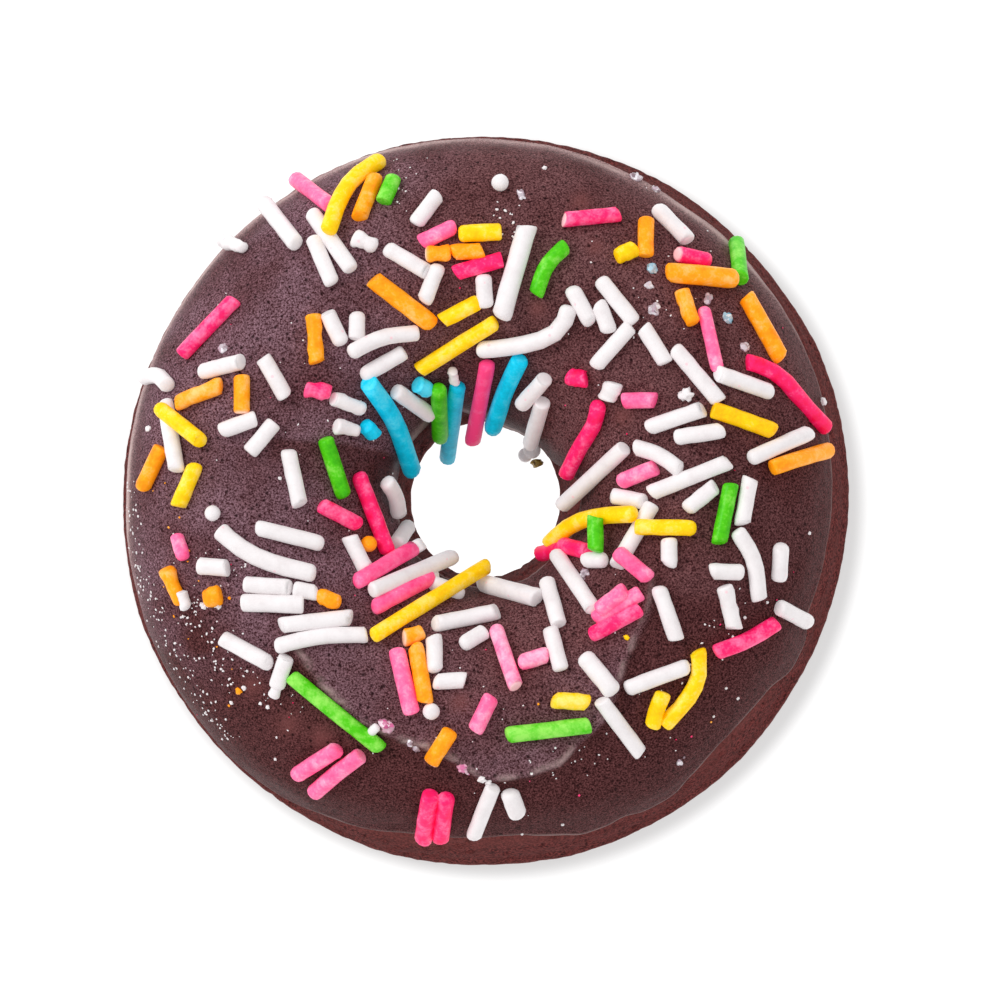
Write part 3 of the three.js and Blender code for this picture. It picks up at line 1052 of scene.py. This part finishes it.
gather("hot_pink_sprinkles", hot_pink_rods, hot_pink_paste)


# ---------------------------------------------------------------------------------------------------
# The orange sprinkles. The same paste dyed orange. Many are chipped, and one has lost its end and
# shows the white inside.
orange_rods = [
    sprinkle((-11.1, 34.4), (-12.7, 29.6)),
    sprinkle((-5.4, 25.4), (-2.6, 25.5), cut="start", lumps=0.1),
    sprinkle((-2.6, 25.6), (0.9, 25.7)),
    sprinkle((-11.1, 22.7), (-4.5, 17.6), thick=2.1),
    sprinkle((20.7, 23.4), (28.5, 22.9), thick=2.2, up=(0.5, 1.0)),
    sprinkle((-17.6, 18.9), (-17.2, 13.6), lumps=0.12),
    sprinkle((-34.4, 4.7), (-36.7, 0.2), milky=-0.3),
    sprinkle((-32.7, 9.4), (-27.6, 11.3), lumps=0.1, milky=0.35),
    sprinkle((-25.4, 12.3), (-25.4, 8.1), cut="end"),
    sprinkle((18.5, 29.4), (18.5, 25.2)),
    sprinkle((22.4, 21.5), (23.7, 17.7), lumps=0.12),
    sprinkle((29.3, 21.1), (33.2, 14.1), thick=1.95),
    sprinkle((32.2, 2.1), (38.2, 4.5)),
    sprinkle((-33.9, -8.4), (-32.3, -12.5), thick=1.85, taper=0.3, lumps=0.12),
    sprinkle((-29.5, -11.9), (-27.7, -11.5), thick=2.1, lumps=0.2),
    sprinkle((-11.8, -5.9)),
    sprinkle((-7.8, -16.4), (-5.7, -15.6), cut="start", lumps=0.15),
    sprinkle((-6.5, -17.1), (-5.3, -23.5)),
    sprinkle((-17.2, -11.6), (-14.6, -12.6), lumps=0.1),
    sprinkle((-2.5, -26.4), (-4.9, -30.0), thick=1.85, cut="end"),
]
orange_paste = sugar_paste("dried_orange_sugar_paste", "#fba414", "#fdc678", "#f58000")
gather("orange_sprinkles", orange_rods, orange_paste)


# ---------------------------------------------------------------------------------------------------
# The yellow sprinkles. The same paste dyed a clear yellow. These have the longest rods, and several
# lie on top of others.
yellow_rods = [
    sprinkle(
        (-10.5, 36.4), (-12.3, 35.2), (-14.0, 33.5), (-15.1, 31.2), (-16.0, 27.8), thick=1.9, up=(0.5, 1.4)
    ),
    sprinkle((-1.8, 27.6), (2.9, 27.8), thick=1.95),
    sprinkle((-3.6, 18.2), (0.5, 20.3)),
    sprinkle((-6.3, 13.0), (2.3, 18.1)),
    sprinkle((-34.7, 9.0), (-29.7, 5.0), thick=1.75, up=(1.2, 0.6)),
    sprinkle((-30.4, 2.8), (-32.5, -1.9)),
    sprinkle((15.4, 25.1), (17.5, 26.2), lumps=0.12),
    sprinkle((25.8, 8.4), (32.6, 6.1), thick=1.85, milky=-0.4),
    sprinkle((7.6, -5.7), (9.3, -4.3), (11.1, -3.4), (14.0, -3.0), (17.4, -3.0), thick=1.9, up=(1.4, 1.4)),
    sprinkle((17.4, -4.4), (24.1, -4.5), up=(1.2, 0.1), lumps=0.07),
    sprinkle((-11.0, -16.2), (0.8, -8.1), thick=1.75, up=(0.2, 1.2)),
    sprinkle((24.2, -17.7), (24.3, -20.3), (23.5, -22.3), (22.0, -24.2), (20.3, -25.9), lumps=0.07),
    sprinkle((20.5, -22.3), (19.7, -24.1), (19.2, -26.1)),
    sprinkle((8.4, -23.2), (12.5, -23.4), thick=1.85, lumps=0.09, milky=0.4),
]
yellow_paste = sugar_paste("dried_yellow_sugar_paste", "#fad006", "#fde480", "#f0b000")
gather("yellow_sprinkles", yellow_rods, yellow_paste)


# ---------------------------------------------------------------------------------------------------
# The green sprinkles. The same paste dyed a leaf green, cloudy where the dye is thin.
green_rods = [
    sprinkle((-9.0, 34.3), (-10.1, 31.3), milky=0.3),
    sprinkle((10.0, 26.4), (7.9, 24.2), (6.6, 20.9), thick=1.75),
    sprinkle((28.0, 27.8), (28.7, 23.0)),
    sprinkle((-16.4, 5.5), (-14.4, -0.9)),
    sprinkle((-4.2, 11.2), (-4.6, 6.2), up=(1.2, 1.4)),
    sprinkle((27.8, 0.3), (26.5, -6.2), thick=1.75),
    sprinkle((13.0, -3.2), (13.1, -7.0), up=(3.0, 1.6)),
    sprinkle((-20.1, -20.4), (-15.0, -24.6), (-10.1, -28.5), milky=0.4),
    sprinkle((3.4, -27.0), (12.5, -25.9), thick=1.85, milky=0.8),
]
green_paste = sugar_paste("dried_green_sugar_paste", "#50c40c", "#98e45e", "#2e9c02")
gather("green_sprinkles", green_rods, green_paste)


# ---------------------------------------------------------------------------------------------------
# The blue sprinkles. The same paste dyed sky blue. They lie together at the back of the hole, and
# two hang out over it.
blue_rods = [
    sprinkle((-11.7, 11.6), (-9.2, 7.8), (-7.5, 2.4), thick=2.1),
    sprinkle((-2.2, 11.6), (-4.2, 4.4)),
    sprinkle((4.8, 14.0), (3.1, 11.2), (1.3, 7.2), thick=2.0),
    sprinkle((-12.2, 7.1), (-11.0, 5.8), lumps=0.1),
    sprinkle((-6.6, 11.6), (-5.2, 10.9), cut="end", lumps=0.14, milky=0.7),
]
blue_paste = sugar_paste("dried_blue_sugar_paste", "#06c8ea", "#5cdcf4", "#00a8c8")
gather("blue_sprinkles", blue_rods, blue_paste)


# ---------------------------------------------------------------------------------------------------
# The sugar crumbs. Bits and dust that broke off the sprinkles and stuck to the frosting, thickest along
# its left edge. Most are white and lie on the skin, and a few are dyed.
CRUMB_SUNK = 0.3
CRUMB_HEIGHT = 0.8
GRAIN_FACETS = 3
DUST_FACETS = 1
STEEPEST_LANDING = 0.12
INWARD = 0.99


def model_crumb(facets):
    """A round crumb 1 in radius. Each copy is made uneven when it is placed."""
    bpy.ops.object.select_all(action="DESELECT")
    bpy.ops.mesh.primitive_ico_sphere_add(subdivisions=facets, radius=1)
    bpy.ops.object.shade_smooth()
    return bpy.context.active_object


grain_model = model_crumb(GRAIN_FACETS)
dust_model = model_crumb(DUST_FACETS)


def landing(x, y):
    """The spot on the frosting below a place, with its normal, or nothing where a crumb would fall off."""
    hit, normal = frosting_below(x, y)
    return (hit, normal) if hit and normal.z > STEEPEST_LANDING else None


def crumb(x, y, wide, long=1.0, rough=0.45, sunk=CRUMB_SUNK, model=None):
    """One crumb that wide in mm, and that many times longer, with that share of it sunk in the frosting."""
    model = model or grain_model
    while not landing(x, y):
        x, y = x * INWARD, y * INWARD
    hit, normal = landing(x, y)
    seed = chance.uniform(0, 50)
    radius = wide / 2
    shape = np.array([vert.co for vert in model.data.vertices])
    uneven = [1 + rough * noise.noise(Vector(point) * 1.6 + Vector((seed, seed, seed))) for point in shape]
    shape = shape * np.array(uneven)[:, None] * np.array([long, 1, CRUMB_HEIGHT]) * radius
    tilt = Vector((0, 0, 1)).rotation_difference(normal).to_matrix()
    turn = tilt @ Matrix.Rotation(chance.uniform(0, math.pi), 3, "Z")
    middle = np.array(hit) / MM + np.array(normal) * radius * CRUMB_HEIGHT * (1 - 2 * sunk)
    piece = model.copy()
    piece.data = model.data.copy()
    bpy.context.scene.collection.objects.link(piece)
    move_points(piece, shape @ np.array(turn).T + middle)
    return piece


def dust(count, x, y, spread, sizes=(0.16, 0.34)):
    """Specks scattered round a place, most of them near its middle."""
    specks = []
    while len(specks) < count:
        place = (chance.gauss(x, spread), chance.gauss(y, spread))
        if landing(*place):
            wide = chance.uniform(*sizes)
            specks.append(crumb(*place, wide, long=chance.uniform(1, 1.6), model=dust_model))
    return specks


def dust_along_rim(count, from_degrees, to_degrees, from_radius, to_radius, sizes=(0.16, 0.42)):
    """Specks scattered along a stretch of the rim."""
    specks = []
    for _ in range(count):
        at = math.radians(chance.uniform(from_degrees, to_degrees))
        far = chance.triangular(from_radius, to_radius)
        wide = chance.uniform(*sizes)
        x, y = far * math.cos(at), far * math.sin(at)
        specks.append(crumb(x, y, wide, long=chance.uniform(1, 1.7), model=dust_model))
    return specks


white_crumbs = [
    crumb(22.9, 10.0, 1.5, rough=0.7),
    crumb(37.4, 10.0, 0.9),
    crumb(7.3, 35.2, 0.5),
    crumb(-36.0, 6.9, 0.65, long=1.3),
    crumb(-21.3, 1.1, 0.4),
    crumb(-26.8, -23.1, 0.45),
    crumb(-22.7, -23.7, 0.45),
    crumb(-23.5, -23.3, 0.4),
    crumb(-22.1, -29.2, 0.35),
    crumb(-25.3, -21.6, 0.55),
    crumb(-29.7, -12.6, 0.7, rough=0.8),
    crumb(-28.0, -12.6, 0.8, rough=0.8),
    crumb(0.7, -31.6, 0.8, rough=0.7),
    crumb(1.4, -31.9, 0.7, rough=0.7),
    crumb(6.1, -31.1, 0.3),
    crumb(9.1, -36.3, 0.35),
    crumb(4.7, -37.7, 0.3),
    crumb(8.7, -28.3, 0.25),
    crumb(27.1, -21.7, 0.3),
    crumb(28.3, -22.7, 0.35),
    crumb(25.7, -24.7, 0.3),
    crumb(36.1, -4.7, 0.4),
    crumb(29.2, -14.1, 0.35),
    crumb(27.9, -16.2, 0.3),
    crumb(31.6, -12.4, 0.3),
    *dust_along_rim(150, 178, 226, 36.4, 39.6, sizes=(0.1, 0.3)),
    *dust_along_rim(45, 203, 219, 31.5, 37, sizes=(0.12, 0.34)),
    *dust_along_rim(45, 183, 232, 27, 36, sizes=(0.1, 0.24)),
    *dust_along_rim(50, -75, -20, 26, 36, sizes=(0.12, 0.24)),
    *dust(14, 4.0, 28.8, 1.1),
    *dust(10, -26.0, -8.8, 0.8, sizes=(0.12, 0.26)),
    *dust(16, -30.9, -12.4, 0.5, sizes=(0.1, 0.24)),
    *dust(20, -9.4, 33.6, 2.2, sizes=(0.12, 0.26)),
    *dust(40, 20.0, 22.0, 7.0, sizes=(0.12, 0.24)),
    *dust(30, -18.0, 8.0, 8.0, sizes=(0.1, 0.22)),
    *dust(30, 6.0, -24.0, 8.0, sizes=(0.1, 0.22)),
]
gather("white_crumbs", white_crumbs, white_paste)

orange_crumbs = [
    crumb(-25.9, -21.9, 0.75, rough=0.7),
    crumb(-26.8, -11.9, 0.35),
    crumb(-27.1, -23.4, 0.3),
    crumb(6.9, -23.6, 0.25),
    crumb(25.4, -25.3, 0.25),
    *dust_along_rim(16, 178, 222, 31, 37, sizes=(0.14, 0.3)),
]
gather("orange_crumbs", orange_crumbs, orange_paste)
gather("yellow_crumbs", [crumb(16.5, -16.4, 0.5, long=1.4, rough=0.7)], yellow_paste)

red_crumbs = [
    crumb(11.1, -33.3, 0.25),
    crumb(23.3, -26.9, 0.22),
    *dust(18, -14.0, 0.0, 14.0, sizes=(0.1, 0.2)),
    *dust(18, 14.0, -4.0, 16.0, sizes=(0.1, 0.2)),
]
gather("hot_pink_crumbs", red_crumbs, hot_pink_paste)


def half_melted_sugar(name, dull, bright, tint):
    """Sugar that took up damp from the frosting: glassy grains, some clouded, some stained."""
    sugar = new_material(name, roughness=0.25, specular_ior_level=0.5)
    place = add_node(sugar, "TexCoord").outputs["Object"]
    grains = add_node(sugar, "TexVoronoi", {"Vector": place, "Scale": 1 / (0.4 * MM)})
    shades = add_node(sugar, "SeparateColor", {"Color": grains.outputs["Color"]})
    clouded_and_stained = [
        (shades.outputs[0], WHOLE, WHOLE, bright),
        (shades.outputs[1], (0.5, 0.9), (0, 0.8), tint),
    ]
    bump = add_node(
        sugar, "Bump", {"Height": grains.outputs["Distance"], "Strength": 0.6, "Distance": 0.1 * MM}
    )
    colour = lay_colours(sugar, dull, clouded_and_stained)
    finish_material(sugar, {"Base Color": colour, "Normal": bump.outputs[0]})
    return sugar


pale_crystals = [
    crumb(-27.6, 15.4, 1.3, sunk=0.7),
    crumb(4.9, 32.1, 0.95, long=1.6, sunk=0.7),
    crumb(18.9, 22.0, 1.1, sunk=0.75),
    crumb(19.4, 19.4, 1.5, sunk=0.75),
    crumb(25.3, 20.7, 1.1, long=1.5, sunk=0.75),
    crumb(29.2, 15.4, 1.3, sunk=0.75),
    crumb(17.3, 35.2, 1.4, sunk=0.4, rough=0.8),
    crumb(19.8, 34.2, 1.0, sunk=0.4, rough=0.8),
    crumb(11.7, -9.3, 1.2, sunk=0.6, rough=0.8),
    crumb(-7.1, -27.8, 0.8, sunk=0.6),
    crumb(-6.4, -28.4, 0.9, sunk=0.6),
    crumb(21.9, -29.6, 0.7, long=1.4, sunk=0.4),
    crumb(22.4, -29.1, 0.3),
]
pale_sugar = half_melted_sugar("half_melted_pale_sugar", "#8f7680", "#f1ecf2", "#c3a4b4")
gather("pale_crystals", pale_crystals, pale_sugar)
blue_crystals = [
    crumb(19.2, 23.9, 1.4, sunk=0.65),
    crumb(27.4, 18.5, 1.5, sunk=0.75),
]
blue_sugar = half_melted_sugar("half_melted_blue_sugar", "#8aa6b4", "#eef2f6", "#7cc2e0")
gather("blue_crystals", blue_crystals, blue_sugar)
pink_crystals = [
    crumb(-9.6, -25.8, 1.6, sunk=0.55, rough=0.7),
    crumb(-1.3, -30.6, 1.2, long=1.3, sunk=0.55, rough=0.7),
    crumb(-5.3, 27.0, 0.5, sunk=0.5),
    crumb(-13.6, 24.6, 0.4, sunk=0.5),
]
pink_sugar = half_melted_sugar("half_melted_pink_sugar", "#b04a78", "#fbe6f0", "#e0559c")
gather("pink_crystals", pink_crystals, pink_sugar)
stained_bit = sprinkle((5.55, 4.35, 1.5), (5.8, 3.6, 1.5), thick=1.3, lumps=0.2)
brown_sugar = half_melted_sugar("frosting_stained_yellow_sugar", "#7d5c22", "#d9b85a", "#5b3a1a")
gather("stained_crumb", [stained_bit], brown_sugar)

for model in (rod_model, pearl_model, grain_model, dust_model):
    bpy.data.objects.remove(model)
